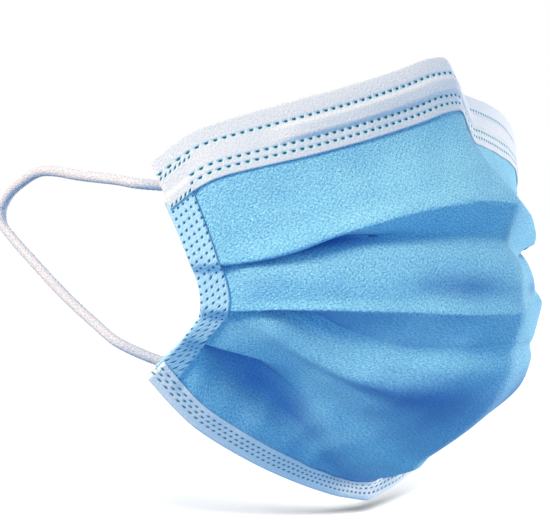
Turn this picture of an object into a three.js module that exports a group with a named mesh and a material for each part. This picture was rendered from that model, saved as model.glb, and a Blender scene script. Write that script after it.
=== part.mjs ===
// Three-pleat surgical face mask in the form it takes when worn.
// Millimetres, +X to the wearer's left, +Y to the back of the head, +Z up.
// The origin is where the top edge rests on the bridge of the nose.
import * as THREE from "three";

const clamp = (value, low, high) => Math.min(high, Math.max(low, value));

// Overall sizes. FLAT_WIDTH is the cloth's length from side edge to side edge,
// which wraps round the face to twice HALF_WIDTH.
const FLAT_WIDTH = 175;
const HALF_WIDTH = 70;
const HEIGHT = 126;
const REACH = 66;

// Cloth, pleats and fits.
const CLOTH = 1.0;
const GAP = 0.35;
const FOLD_RADIUS = (CLOTH + GAP) / 2;
const LAYER = CLOTH / 2 + GAP;
const PLEAT_DEPTH = 10;
const FULLNESS = 5;

// Bands, tapes, wire and cords.
const NOSE_BAND_WIDTH = 14.5;
const CHIN_BAND_WIDTH = 5.5;
const BAND_THICKNESS = 1.0;
const BAND_HOOK = 6;
const BAND_STEP = 1.6;
const TAPE_WIDTH = 7;
const TAPE_THICKNESS = 1.0;
const TAPE_STEP = 4;
const WIRE_LENGTH = 105;
const WIRE_WIDTH = 4;
const WIRE_THICKNESS = 0.8;
const WIRE_FROM_EDGE = 5.2;
const CASING_MARGIN = 1.1;
const CASING_RAMP = 1.9;
const CASING_TAPER = 15;
const CORD_DIAMETER = 2.8;
const CORD_STUB = 1.5;
const CORD_SIDES = 8;
const CORD_STEPS = 60;

// Rows of the body from the top edge to the chin edge. Width is a share of
// HALF_WIDTH, centre and end are y at the centre and at the side edge as
// shares of REACH, straight is how little the row curves in plan, and drop is
// the depth below the nose bridge as shares of HEIGHT at STATIONS.
const STATIONS = [0, 0.1, 0.2, 0.4, 0.6, 0.8, 0.9, 1];
const ROWS = {
  topEdge: {
    width: 1.014, centre: 0, end: 0.598, straight: 0.35,
    drop: [0.008, 0.018, 0.04, 0.079, 0.113, 0.151, 0.18, 0.235],
  },
  lip1: {
    width: 0.956, centre: -0.392, end: 0.424, straight: 0.4,
    drop: [0.314, 0.309, 0.31, 0.333, 0.37, 0.418, 0.432, 0.436],
  },
  lip2: {
    width: 0.914, centre: -0.421, end: 0.415, straight: 0.4,
    drop: [0.543, 0.542, 0.542, 0.534, 0.529, 0.527, 0.53, 0.529],
  },
  lip3: {
    width: 0.928, centre: 0.085, end: 0.488, straight: 0.45,
    drop: [0.903, 0.878, 0.845, 0.753, 0.669, 0.623, 0.607, 0.587],
  },
  chinEdge: {
    width: 1.0, centre: 0.424, end: 0.641, straight: 0.1,
    drop: [0.993, 0.98, 0.965, 0.921, 0.865, 0.793, 0.74, 0.673],
  },
};
// Where the wearer's left half differs: the top edge falls away steeply beside
// the nose and the first lip hangs lower.
const LEFT_ROWS = {
  topEdge: {
    width: 1.057, centre: 0, end: 0.5, straight: 0.45,
    drop: [0.008, 0.079, 0.091, 0.103, 0.123, 0.155, 0.186, 0.238],
  },
  lip1: {
    width: 0.915, centre: -0.392, end: 0.44, straight: 0.4,
    drop: [0.314, 0.33, 0.352, 0.392, 0.414, 0.43, 0.434, 0.436],
  },
};

// Pleat roots at STATIONS, as shares of PLEAT_DEPTH: open is how much further
// inside the lip a root lies than in a pressed pleat, and up is how far above
// the lip. Pressed at the side edge, open at the centre. leftOpen stands in
// for open on the wearer's left half.
const ROOTS = [
  {
    open: [0.215, 0.265, 0.315, 0.365, 0.315, 0.185, 0.085, 0],
    up: [-1, -0.95, -0.85, -0.55, -0.1, 0.4, 0.65, 0.8],
  },
  {
    open: [0.165, 0.185, 0.265, 0.515, 0.565, 0.285, 0.105, 0],
    leftOpen: [0.165, 0.085, 0.065, 0.105, 0.205, 0.185, 0.105, 0],
    up: [-0.76, -0.8, -0.85, -0.9, -0.5, 0.2, 0.55, 0.7],
  },
  {
    open: [-0.115, -0.115, -0.075, 0.085, 0.265, 0.205, 0.085, 0],
    up: [-0.5, -0.5, -0.5, -0.5, -0.3, 0.2, 0.45, 0.6],
  },
];

// How far each panel swells outward at STATIONS, as shares of FULLNESS. Early
// below 1 puts the fullest place above the middle of the panel, and a higher
// taper narrows it.
const PANELS = [
  { swell: [-0.8, -0.8, -0.8, -0.68, -0.4, -0.08, 0, 0], early: 1, taper: 2, pieces: 8 },
  { swell: [0.32, 0.32, 0.28, 0.2, 0.12, 0.04, 0, 0], early: 1, taper: 2, pieces: 4 },
  { swell: [1.1, 1.1, 1.1, 0.92, 0.6, 0.2, 0.06, 0], early: 0.7, taper: 1, pieces: 7 },
  { swell: [0.3, 0.3, 0.3, 0.3, 0.2, 0.1, 0, 0], early: 1, taper: 2, pieces: 5 },
];
const UNDERSIDE_PIECES = 2;
const FOLD_PIECES = 4;

// Columns of the body from the centre to a side edge. Two of them fall on the
// wire's end and on the tape's inner edge.
const WIRE_END = WIRE_LENGTH / FLAT_WIDTH;
const edgePace = rowPoint("lip2", 1).distanceTo(rowPoint("lip2", 0.9)) / 0.1;
const TAPE_START = 1 - TAPE_WIDTH / edgePace;
const COLUMNS = [
  ...[0, 0.05, 0.1, 0.15, 0.2, 0.3, 0.4, 0.5, 0.6, 0.7, 0.8, 0.87]
    .filter((t) => Math.abs(t - WIRE_END) > 0.02 && t < TAPE_START - 0.02),
  WIRE_END,
  TAPE_START,
  1,
].sort((a, b) => a - b);

// Ear loop outline beside the head: back and drop as shares of REACH and
// HEIGHT from its upper end to its lower end. Its ends meet the side faces of
// the bands at the drops in LOOP_ENDS.
const LOOP_SIDE = 1.03;
const LOOP = [
  { back: 0.66, drop: 0.272 },
  { back: 0.78, drop: 0.265 },
  { back: 1.044, drop: 0.255 },
  { back: 1.217, drop: 0.246 },
  { back: 1.323, drop: 0.248 },
  { back: 1.447, drop: 0.271 },
  { back: 1.545, drop: 0.3 },
  { back: 1.598, drop: 0.335 },
  { back: 1.592, drop: 0.367 },
  { back: 1.518, drop: 0.398 },
  { back: 1.35, drop: 0.454 },
  { back: 1.153, drop: 0.516 },
  { back: 0.942, drop: 0.573 },
  { back: 0.78, drop: 0.61 },
];
const LOOP_ENDS = { top: 0.277, bottom: 0.651 };

const ROW_NAMES = ["topEdge", "lip1", "lip2", "lip3", "chinEdge"];

// Smooth curve through a table of values.
function curve(stations, values, at) {
  const slopes = values.map((value, i) => {
    const a = Math.max(i - 1, 0);
    const b = Math.min(i + 1, values.length - 1);
    return (values[b] - values[a]) / (stations[b] - stations[a]);
  });
  let i = 0;
  while (i < stations.length - 2 && at > stations[i + 1]) i += 1;
  const span = stations[i + 1] - stations[i];
  const u = clamp((at - stations[i]) / span, 0, 1);
  const v = 1 - u;
  return (
    values[i] * v * v * (1 + 2 * u) +
    values[i + 1] * u * u * (3 - 2 * u) +
    span * slopes[i] * u * v * v -
    span * slopes[i + 1] * u * u * v
  );
}

// A row's point at t, from -1 at the wearer's right edge to 1 at the left.
function rowPoint(name, t) {
  const row = (t > 0 && LEFT_ROWS[name]) || ROWS[name];
  const side = Math.abs(t);
  const bow = row.straight * side + (1 - row.straight) * side * side;
  return new THREE.Vector3(
    t * row.width * HALF_WIDTH,
    (row.centre + (row.end - row.centre) * bow) * REACH,
    -curve(STATIONS, row.drop, side) * HEIGHT,
  );
}

// Level directions at t: along the cloth to the wearer's left, and outward.
function levels(t) {
  const step = 0.01;
  const along = rowPoint("lip2", t + step).sub(rowPoint("lip2", t - step));
  along.z = 0;
  along.normalize();
  return { along, outward: new THREE.Vector3(along.y, -along.x, 0) };
}

// The point of the column at t that lies so far out at height z. All layers
// of a pleat share one place along the cloth at one height.
function spot(t, out, z) {
  const { along, outward } = levels(t);
  const rows = ROW_NAMES.map((name) => rowPoint(name, t));
  const slide = curve(rows.map((p) => -p.z), rows.map((p) => p.dot(along)), -z);
  return outward.clone().multiplyScalar(out).addScaledVector(along, slide).setZ(z);
}

// One column of the body: a strip that runs down the panels and round the
// folds, as a belt runs round pulleys, alternately one way and the other.
function column(t) {
  const { outward } = levels(t);
  const side = Math.abs(t);
  const stop = (name, turn) => {
    const p = rowPoint(name, t);
    return { out: p.dot(outward), z: p.z, turn };
  };
  const stops = [stop("topEdge", 0)];
  ["lip1", "lip2", "lip3"].forEach((name, k) => {
    const lip = stop(name, -1);
    lip.out -= FOLD_RADIUS;
    const open = (t > 0 && ROOTS[k].leftOpen) || ROOTS[k].open;
    const out = lip.out - 2 * FOLD_RADIUS - curve(STATIONS, open, side) * PLEAT_DEPTH;
    const z = lip.z + curve(STATIONS, ROOTS[k].up, side) * PLEAT_DEPTH;
    stops.push(lip, { out, z, turn: 1 });
  });
  stops.push(stop("chinEdge", 0));

  const runs = stops.slice(1).map((b, i) => {
    const a = stops[i];
    const reach = Math.hypot(b.out - a.out, b.z - a.z);
    const lean = Math.asin(clamp((FOLD_RADIUS * (b.turn - a.turn)) / reach, -1, 1));
    return Math.atan2(b.z - a.z, b.out - a.out) - lean;
  });
  const onStop = ({ out, z, turn }, angle) => ({
    out: out + turn * FOLD_RADIUS * Math.sin(angle),
    z: z - turn * FOLD_RADIUS * Math.cos(angle),
  });
  const path = [];
  runs.forEach((angle, i) => {
    const from = onStop(stops[i], angle);
    const to = onStop(stops[i + 1], angle);
    const panel = i % 2 === 0 ? PANELS[i / 2] : null;
    const pieces = panel ? panel.pieces : UNDERSIDE_PIECES;
    const swell = panel ? curve(STATIONS, panel.swell, side) * FULLNESS : 0;
    for (let k = i === 0 ? 0 : 1; k <= pieces; k += 1) {
      const u = k / pieces;
      const arch = panel ? Math.max(0, Math.sin(Math.PI * u ** panel.early)) ** panel.taper : 0;
      const bump = swell * arch;
      path.push({
        out: from.out + (to.out - from.out) * u - bump * Math.sin(angle),
        z: from.z + (to.z - from.z) * u + bump * Math.cos(angle),
      });
    }
    if (i === runs.length - 1) return;
    const fold = stops[i + 1];
    let sweep = (runs[i + 1] - angle) * fold.turn;
    sweep = ((sweep % (2 * Math.PI)) + 2 * Math.PI) % (2 * Math.PI);
    if (sweep > 1.5 * Math.PI) sweep -= 2 * Math.PI;
    for (let k = 1; k <= FOLD_PIECES; k += 1) {
      path.push(onStop(fold, angle + (fold.turn * sweep * k) / FOLD_PIECES));
    }
  });
  return path.map((p) => spot(t, p.out, p.z));
}

// Direction through a point of a line of points.
function heading(line, i) {
  const sum = new THREE.Vector3();
  if (i > 0) sum.add(line[i].clone().sub(line[i - 1]).normalize());
  if (i < line.length - 1) sum.add(line[i + 1].clone().sub(line[i]).normalize());
  return sum.normalize();
}

// Outward directions of a grid whose columns run down and rows run to the left.
function outwards(grid) {
  return grid.map((line, i) =>
    line.map((_, j) => {
      const across = heading(grid.map((other) => other[j]), i);
      return across.cross(heading(line, j)).negate().normalize();
    }));
}

// Closed solid of a sheet whose middle surface is the grid.
function shell(grid, thickness) {
  const faces = outwards(grid);
  const offset = (amount) =>
    grid.map((line, i) => line.map((p, j) => p.clone().addScaledVector(faces[i][j], amount)));
  return closed(offset(thickness / 2), offset(-thickness / 2));
}

// Closed solid between an outer grid and an inner grid of the same size.
function closed(outer, inner) {
  const columns = outer.length;
  const rows = outer[0].length;
  const positions = [];
  [outer, inner].forEach((grid) =>
    grid.forEach((line) => line.forEach((p) => positions.push(p.x, p.y, p.z))));
  const at = (layer, i, j) => layer * columns * rows + i * rows + j;
  const index = [];
  const quad = (a, b, c, d) => index.push(a, b, c, a, c, d);
  for (let i = 0; i < columns - 1; i += 1) {
    for (let j = 0; j < rows - 1; j += 1) {
      quad(at(0, i, j), at(0, i, j + 1), at(0, i + 1, j + 1), at(0, i + 1, j));
      quad(at(1, i, j), at(1, i + 1, j), at(1, i + 1, j + 1), at(1, i, j + 1));
    }
    const last = rows - 1;
    quad(at(0, i, 0), at(0, i + 1, 0), at(1, i + 1, 0), at(1, i, 0));
    quad(at(0, i, last), at(1, i, last), at(1, i + 1, last), at(0, i + 1, last));
  }
  for (let j = 0; j < rows - 1; j += 1) {
    const last = columns - 1;
    quad(at(0, 0, j), at(1, 0, j), at(1, 0, j + 1), at(0, 0, j + 1));
    quad(at(0, last, j), at(0, last, j + 1), at(1, last, j + 1), at(1, last, j));
  }
  const geometry = new THREE.BufferGeometry();
  geometry.setAttribute("position", new THREE.Float32BufferAttribute(positions, 3));
  geometry.setIndex(index);
  return geometry;
}

// The point that lies so far along a line of points.
function walk(line, distance) {
  let left = distance;
  let i = 1;
  while (i < line.length - 1 && left > line[i].distanceTo(line[i - 1])) {
    left -= line[i].distanceTo(line[i - 1]);
    i += 1;
  }
  return line[i - 1].clone().lerp(line[i], left / line[i].distanceTo(line[i - 1]));
}

// A sheet that lies over the body's first or last panel and turns round the
// edge. Depth counts along the cloth from the edge, and way is -1 where the
// lines run up from the edge.
function edgeBand(lines, width, way, standOff) {
  const faces = outwards(lines).map((line) => line.map((face) => face.multiplyScalar(way)));
  return lines.map((line, i) => {
    const steps = line.map((p, j) => (j ? p.distanceTo(line[j - 1]) : 0));
    const place = (depth) => {
      let left = depth;
      let j = 1;
      while (j < line.length - 1 && left > steps[j]) {
        left -= steps[j];
        j += 1;
      }
      const u = left / steps[j];
      return {
        point: line[j - 1].clone().lerp(line[j], u),
        face: faces[i][j - 1].clone().lerp(faces[i][j], u).normalize(),
      };
    };
    const turned = [];
    const close = standOff(0, i);
    const off = line[0].clone().sub(line[1]).normalize();
    [1, 0.5].forEach((share) => {
      const { point, face } = place(BAND_HOOK * share);
      turned.push(point.addScaledVector(face, -close));
    });
    for (let k = 0; k <= 4; k += 1) {
      const angle = (Math.PI * k) / 4;
      turned.push(line[0].clone()
        .addScaledVector(faces[i][0], -close * Math.cos(angle))
        .addScaledVector(off, close * Math.sin(angle)));
    }
    const pieces = Math.max(3, Math.round(width / BAND_STEP));
    for (let k = 1; k <= pieces; k += 1) {
      const depth = (width * k) / pieces;
      const { point, face } = place(depth);
      turned.push(point.addScaledVector(face, standOff(depth, i)));
    }
    return turned;
  });
}

// Side tape: a folded strip that takes the stack of pleats between its legs.
// It stands just clear of the outermost and innermost cloth at each height.
function tapeGrid(side) {
  const inner = COLUMNS.indexOf(TAPE_START);
  const tapeColumns = COLUMNS.slice(inner).map((t) => column(side * t));
  const { along, outward } = levels(side);
  const past = along.clone().multiplyScalar(side);
  const reach = (way, z) => {
    const near = tapeColumns.flat().filter((p) => Math.abs(p.z - z) < TAPE_STEP * 1.6);
    return way * Math.max(...near.map((p) => way * p.dot(outward)));
  };
  const ends = [side * COLUMNS[inner], side].map((t) => {
    const line = column(t);
    const top = walk(line, NOSE_BAND_WIDTH + TAPE_THICKNESS + GAP).z;
    const bottom = walk([...line].reverse(), CHIN_BAND_WIDTH + TAPE_THICKNESS + GAP).z;
    return { t, top, bottom };
  });
  const steps = Math.round((ends[1].top - ends[1].bottom) / TAPE_STEP);
  const clear = LAYER + TAPE_THICKNESS / 2;
  const grid = [];
  for (let k = 0; k <= steps; k += 1) {
    const [middle, edge] = ends.map(({ t, top, bottom }) => {
      const z = top + ((bottom - top) * k) / steps;
      const out = reach(1, z) + clear;
      const inside = reach(-1, z) - clear;
      const place = (where) => {
        const p = spot(t, 0, z);
        return p.addScaledVector(outward, where - p.dot(outward));
      };
      return { out: place(out), inside: place(inside) };
    });
    const turn = (p) => p.clone().addScaledVector(past, clear);
    grid.push([
      middle.out,
      edge.out,
      turn(edge.out).addScaledVector(outward, -TAPE_THICKNESS / 2),
      turn(edge.inside).addScaledVector(outward, TAPE_THICKNESS / 2),
      edge.inside,
      middle.inside,
    ]);
  }
  return grid;
}

// Ear loop: a round cord whose ends meet the side faces of the two bands.
function earLoop(side, lines) {
  const edgeAt = (line, drop) => {
    const z = -drop * HEIGHT;
    const hits = line.slice(1)
      .map((p, j) => ({ a: line[j], b: p }))
      .filter(({ a, b }) => (a.z - z) * (b.z - z) <= 0);
    const { a, b } = hits[0];
    return a.clone().lerp(b, (a.z - z) / (a.z - b.z || 1));
  };
  const { along } = levels(side);
  const past = along.clone().multiplyScalar(side);
  const standOff = GAP + CORD_DIAMETER * 0.4;
  const meet = (line, drop) => edgeAt(line, drop).addScaledVector(past, standOff);
  const top = meet(lines.top, LOOP_ENDS.top);
  const bottom = meet(lines.bottom, LOOP_ENDS.bottom);
  const points = LOOP.map(({ back, drop }) =>
    new THREE.Vector3(side * LOOP_SIDE * HALF_WIDTH, back * REACH, -drop * HEIGHT));
  const path = new THREE.CatmullRomCurve3([
    top,
    top.clone().addScaledVector(past, CORD_STUB),
    ...points,
    bottom.clone().addScaledVector(past, CORD_STUB),
    bottom,
  ], false, "centripetal");
  const section = new THREE.Shape();
  for (let k = 0; k < CORD_SIDES; k += 1) {
    const angle = (2 * Math.PI * k) / CORD_SIDES;
    const x = (CORD_DIAMETER / 2) * Math.cos(angle);
    const y = (CORD_DIAMETER / 2) * Math.sin(angle);
    if (k) section.lineTo(x, y);
    else section.moveTo(x, y);
  }
  section.closePath();
  return new THREE.ExtrudeGeometry(section, {
    steps: CORD_STEPS, extrudePath: path, bevelEnabled: false,
  });
}

const COLOURS = {
  pleated_body: "#6fc0e8",
  nose_band: "#e9ebf1",
  chin_band: "#e9ebf1",
  nose_wire: "#c9ced6",
  side_tape: "#a6d3f0",
  ear_loop: "#e4e4ec",
};
function part(name, colour, geometry) {
  const material = new THREE.MeshStandardMaterial({ color: COLOURS[colour] });
  material.name = name;
  const mesh = new THREE.Mesh(geometry, material);
  mesh.name = name;
  return mesh;
}

const across = [...COLUMNS.slice(1).reverse().map((t) => -t), ...COLUMNS];
const body = across.map(column);
const TOP_RUN = PANELS[0].pieces + 1;
const BOTTOM_RUN = PANELS[3].pieces + 1;
const topPanel = body.map((line) => line.slice(0, TOP_RUN));
const chinPanel = body.map((line) => line.slice(-BOTTOM_RUN));

// The band rises over the wire and lies close to the body elsewhere.
const bandClose = LAYER + BAND_THICKNESS / 2;
const wireRise = WIRE_THICKNESS + GAP;
function bandStandOff(depth, i) {
  const side = Math.abs(across[i]);
  const middle = WIRE_FROM_EDGE + WIRE_WIDTH / 2;
  const beside = Math.abs(depth - middle) - WIRE_WIDTH / 2 - CASING_MARGIN;
  const over = clamp(1 - beside / CASING_RAMP, 0, 1);
  const beyond = ((side - WIRE_END) * FLAT_WIDTH) / 2;
  const fade = clamp(1 - beyond / CASING_TAPER, 0, 1);
  return bandClose + wireRise * over * fade;
}
function wireGrid() {
  const faces = outwards(topPanel);
  const grid = [];
  across.forEach((t, i) => {
    if (Math.abs(t) > WIRE_END) return;
    const line = topPanel[i];
    const run = line[0].distanceTo(line[1]);
    const place = (depth) => {
      const j = clamp(Math.floor(depth / run), 0, line.length - 2);
      const u = depth / run - j;
      const face = faces[i][j].clone().lerp(faces[i][j + 1], u).normalize();
      return line[j].clone().lerp(line[j + 1], u)
        .addScaledVector(face, LAYER + WIRE_THICKNESS / 2);
    };
    grid.push([WIRE_FROM_EDGE, WIRE_FROM_EDGE + WIRE_WIDTH].map(place));
  });
  return grid;
}

const noseBand = edgeBand(topPanel, NOSE_BAND_WIDTH, 1, bandStandOff);
const chinLines = chinPanel.map((line) => [...line].reverse());
const chinBand = edgeBand(chinLines, CHIN_BAND_WIDTH, -1, () => bandClose);
const tapes = { right: -1, left: 1 };

const mask = new THREE.Group();
mask.name = "surgical_face_mask";
mask.add(
  part("pleated_body", "pleated_body", shell(body, CLOTH)),
  part("nose_band", "nose_band", shell(noseBand, BAND_THICKNESS)),
  part("nose_wire", "nose_wire", shell(wireGrid(), WIRE_THICKNESS)),
  part("chin_band", "chin_band", shell(chinBand, BAND_THICKNESS)),
);
Object.entries(tapes).forEach(([name, side]) => {
  const edgeIndex = side < 0 ? 0 : across.length - 1;
  const lines = { top: topPanel[edgeIndex], bottom: chinPanel[edgeIndex] };
  mask.add(
    part(`side_tape_${name}`, "side_tape", shell(tapeGrid(side), TAPE_THICKNESS)),
    part(`ear_loop_${name}`, "ear_loop", earLoop(side, lines)),
  );
});

export default mask;
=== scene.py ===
# %% [markdown]
# # A pleated surgical face mask
#
# A surgical mask is one flat rectangle of thin nonwoven cloth, folded into
# three pleats, with a band welded over its top edge, another over its bottom
# edge, a tape over each side and an elastic loop at each side. Worn, the
# pleats open at the middle and stay pressed at the sides. This file dresses
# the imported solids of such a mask: it keeps their frame and their places, and
# adds the thin cloth, the welds, the knitted loops and the light.

import math

import bmesh
import bpy
import numpy as np
from mathutils import Matrix, Vector
from mathutils.bvhtree import BVHTree


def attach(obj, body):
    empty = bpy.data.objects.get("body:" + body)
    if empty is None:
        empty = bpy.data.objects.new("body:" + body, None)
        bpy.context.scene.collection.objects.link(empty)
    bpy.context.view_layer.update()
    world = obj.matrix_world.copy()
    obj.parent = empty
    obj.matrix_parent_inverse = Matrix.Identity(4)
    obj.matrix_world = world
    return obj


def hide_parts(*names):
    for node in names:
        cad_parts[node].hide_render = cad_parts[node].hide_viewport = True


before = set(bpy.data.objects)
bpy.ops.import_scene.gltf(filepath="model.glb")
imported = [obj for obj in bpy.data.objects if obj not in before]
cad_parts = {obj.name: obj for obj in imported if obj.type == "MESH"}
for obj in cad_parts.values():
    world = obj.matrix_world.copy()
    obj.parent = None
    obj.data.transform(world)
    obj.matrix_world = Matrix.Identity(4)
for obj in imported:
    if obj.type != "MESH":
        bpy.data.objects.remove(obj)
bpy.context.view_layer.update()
scene = bpy.context.scene
print("solids:", sorted(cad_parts))

# %% [markdown]
# ## Camera
#
# The mask is seen from the wearer's right and slightly from above. A camera
# could be aimed with a constraint, but three directions say it plainly: right
# and up in the picture, and back towards the camera. The lens follows from
# the size that one picture point has at the nose bridge.

# %% Camera
AZIMUTH = math.radians(-44)
ELEVATION = math.radians(3)
DISTANCE = 0.45
PIXEL = 0.000272
FRAME_SIZE = (550, 520)
NOSE_PIXEL = (445, 57)
SENSOR = 36.0

right = Vector((math.cos(AZIMUTH), math.sin(AZIMUTH), 0))
back = Vector((
    math.sin(AZIMUTH) * math.cos(ELEVATION),
    -math.cos(AZIMUTH) * math.cos(ELEVATION),
    math.sin(ELEVATION),
))
up = back.cross(right)
middle = right * (FRAME_SIZE[0] / 2 - NOSE_PIXEL[0]) * PIXEL
middle -= up * (FRAME_SIZE[1] / 2 - NOSE_PIXEL[1]) * PIXEL
camera_data = bpy.data.cameras.new("camera")
camera_data.sensor_width = SENSOR
camera_data.lens = SENSOR * DISTANCE / (PIXEL * FRAME_SIZE[0])
camera = bpy.data.objects.new("camera", camera_data)
camera.matrix_world = Matrix.Translation(middle + back * DISTANCE) @ Matrix((right, up,
                                                                             back)).transposed().to_4x4()
scene.collection.objects.link(camera)
scene.camera = camera
print("lens:", round(camera_data.lens, 2), "mm")

# %% [markdown]
# ## Small helpers
#
# Colours are written as the hex values that a picture editor shows, which are
# sRGB, and shaders work in linear light, so one function turns them. Another
# adds a shader node with its settings and links, and a third makes a mesh from
# a grid of points, because all the cloth here is a grid that was bent.

# %% Helpers
def linear(text):
    """A hex colour as the linear values that a shader takes."""
    parts = [int(text[i:i + 2], 16) / 255 for i in (1, 3, 5)]
    return tuple(c / 12.92 if c <= 0.04045 else ((c + 0.055) / 1.055) ** 2.4 for c in parts) + (1.0,)


def add(tree, kind, settings=None, **inputs):
    """A shader node. An input is a value or another node's output socket."""
    node = tree.nodes.new("ShaderNode" + kind)
    for name, value in (settings or {}).items():
        setattr(node, name, value)
    for name, value in inputs.items():
        key = int(name[1:]) if name[0] == "i" and name[1:].isdigit() else name.replace("_", " ")
        socket = node.inputs[key]
        if isinstance(value, bpy.types.NodeSocket):
            tree.links.new(value, socket)
        else:
            socket.default_value = value
    return node


def new_material(name, slot_colour):
    """An empty material with its principled shader."""
    material = bpy.data.materials.new(name)
    material.use_nodes = True
    material.diffuse_color = linear(slot_colour)
    return material, material.node_tree, material.node_tree.nodes["Principled BSDF"]


def grid_mesh(name, grid, uv, closed_round=False):
    """A smooth mesh from points[i][j], with its UV map in millimetres."""
    columns, rows = grid.shape[:2]
    index = np.arange(columns * rows).reshape(columns, rows)
    if closed_round:
        nxt = np.roll(index, -1, axis=1)
        quads = np.stack([index[:-1], nxt[:-1], nxt[1:], index[1:]], -1).reshape(-1, 4)
    else:
        quads = np.stack([index[:-1, :-1], index[:-1, 1:], index[1:, 1:], index[1:, :-1]], -1).reshape(-1, 4)
    mesh = bpy.data.meshes.new(name)
    mesh.from_pydata(grid.reshape(-1, 3).tolist(), [], quads.tolist())
    layer = mesh.uv_layers.new(name="cloth_mm")
    corners = np.empty(len(mesh.loops), int)
    mesh.loops.foreach_get("vertex_index", corners)
    places = uv.reshape(-1, 2)[corners]
    if closed_round:
        turn = places.reshape(-1, 4, 2)
        wrap = turn[:, :, 1].max(1) - turn[:, :, 1].min(1) > 0.5 * uv[..., 1].max()
        low = turn[:, :, 1] < 0.5 * uv[..., 1].max()
        turn[:, :, 1] += (wrap[:, None] & low) * (uv[0, 1, 1] + uv[..., 1].max())
        places = turn.reshape(-1, 2)
    layer.data.foreach_set("uv", places.astype(np.float32).ravel())
    mesh.polygons.foreach_set("use_smooth", [True] * len(mesh.polygons))
    thing = bpy.data.objects.new(name, mesh)
    scene.collection.objects.link(thing)
    return thing


def apply_modifiers(thing):
    """Applies the piece's modifiers from first to last."""
    bpy.ops.object.select_all(action="DESELECT")
    thing.select_set(True)
    bpy.context.view_layer.objects.active = thing
    for modifier in list(thing.modifiers):
        bpy.ops.object.modifier_apply(modifier=modifier.name)


MM = 0.001

# %% [markdown]
# ## Spunbond nonwoven
#
# The outer layer is spunbond polypropylene: endless fibres laid at random and
# welded together in a fine lattice of points. It is matt, slightly pebbled and lets
# a little light through. A deeper blue is painted into its folds and onto faces
# turned down, as painted shade.
# Real fibres of 0.02 mm can't show at this size, so the tufts between the weld
# points are drawn instead, at the 0.8 to 1.3 mm spacing that they have.

# %% Nonwoven material
def nonwoven(name, slot_colour, light, deep, folded=None, marks=None,
             mark_colours=("#1F6080", "#A9DDEB"), lattice=0.1, grain=0.48):
    """Spunbond cloth. Folded is the deep blue painted into the folds as shade, read from the openness attribute.
    Marks turns the cloth's millimetres into weld and halo masks.
    """
    material, tree, shader = new_material(name, slot_colour)
    place = add(tree, "UVMap", {"uv_map": "cloth_mm"}).outputs["UV"]
    tufts = add(tree, "TexNoise", Vector=place, Scale=2.1, Detail=2.5, Roughness=0.55,
                Distortion=0.35).outputs["Fac"]
    cloud = add(tree, "TexNoise", Vector=place, Scale=0.09, Detail=3.0, Roughness=0.5).outputs["Fac"]
    turned = add(tree, "Mapping", Vector=place, Rotation=(0, 0, math.radians(45)), Scale=(1 / 1.1, 1 / 1.1, 1))
    points = add(tree, "TexVoronoi", {"voronoi_dimensions": "2D"}, Vector=turned.outputs[0],
                 Scale=1.0, Randomness=0.35)
    dimple = add(tree, "MapRange", {"interpolation_type": "SMOOTHSTEP"},
                 Value=points.outputs["Distance"], i1=0.1, i2=0.5)
    ripe = add(tree, "MapRange", Value=cloud, i1=0.4, i2=0.62, i3=0.5, i4=1.0).outputs[0]
    pressed = add(tree, "Math", {"operation": "MULTIPLY"}, i0=dimple.outputs[0], i1=ripe).outputs[0]
    height = add(tree, "Math", {"operation": "MULTIPLY_ADD"}, i0=pressed, i1=lattice, i2=tufts).outputs[0]
    tone = add(tree, "MapRange", Value=height, i1=0.4, i2=0.66 + 0.5 * lattice, i3=0.0, i4=1.0).outputs[0]
    body = add(tree, "Mix", {"data_type": "RGBA"}, i0=tone, i6=linear(deep), i7=linear(light))
    colour, relief = body.outputs[2], height
    # painted shade: where the openness attribute is low, in folds and on faces turned down, the colour is mixed
    # towards the deep blue of folded
    if folded:
        free = add(tree, "Attribute", {"attribute_name": "openness"}).outputs["Fac"]
        inside = add(tree, "MapRange", {"interpolation_type": "SMOOTHSTEP"}, Value=free, i1=0.92,
                     i2=0.35, i3=0.0, i4=0.92)
        colour = add(tree, "Mix", {"data_type": "RGBA"}, i0=inside.outputs[0], i6=colour,
                     i7=linear(folded)).outputs[2]
    if marks:
        weld, halo = marks(tree, place)
        ringed = add(tree, "Mix", {"data_type": "RGBA"}, i0=halo, i6=colour, i7=linear(mark_colours[1]))
        colour = add(tree, "Mix", {"data_type": "RGBA"}, i0=weld, i6=ringed.outputs[2],
                     i7=linear(mark_colours[0])).outputs[2]
        relief = add(tree, "Math", {"operation": "MULTIPLY_ADD"}, i0=halo, i1=-0.7, i2=relief).outputs[0]
        relief = add(tree, "Math", {"operation": "MULTIPLY_ADD"}, i0=weld, i1=-0.8, i2=relief).outputs[0]
    bump = add(tree, "Bump", Height=relief, Strength=1.0, Distance=grain * MM)
    tree.links.new(colour, shader.inputs["Base Color"])
    tree.links.new(bump.outputs[0], shader.inputs["Normal"])
    shader.inputs["Roughness"].default_value = 0.8
    shader.inputs["Specular IOR Level"].default_value = 0.3
    shader.inputs["Sheen Weight"].default_value = 0.15
    shader.inputs["Sheen Roughness"].default_value = 0.5
    return material


# blue spunbond: a soft matt cloth with fine cloudy fibres, and a deeper blue painted inside the folds as shade
blue_cloth = nonwoven("blue_spunbond_polypropylene", "#6FC0E8", "#ADE8FB", "#60B5E4", folded="#155FBA")
white_lining = nonwoven("white_spunbond_lining", "#E9EBF1", "#F1F3F6", "#DEE2E9")

# %% [markdown]
# ## Ear loops
#
# Each loop is a knitted tube of polyester over elastane, 2.8 mm across and
# about 150 mm long, welded to the mask at its two ends. A curve with a bevel
# would be quick, but it stays a smooth tube. Here rings of points follow the
# route, and the radius rises and falls in the slanting stitches that such a
# knit shows, so the relief is real.

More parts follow.
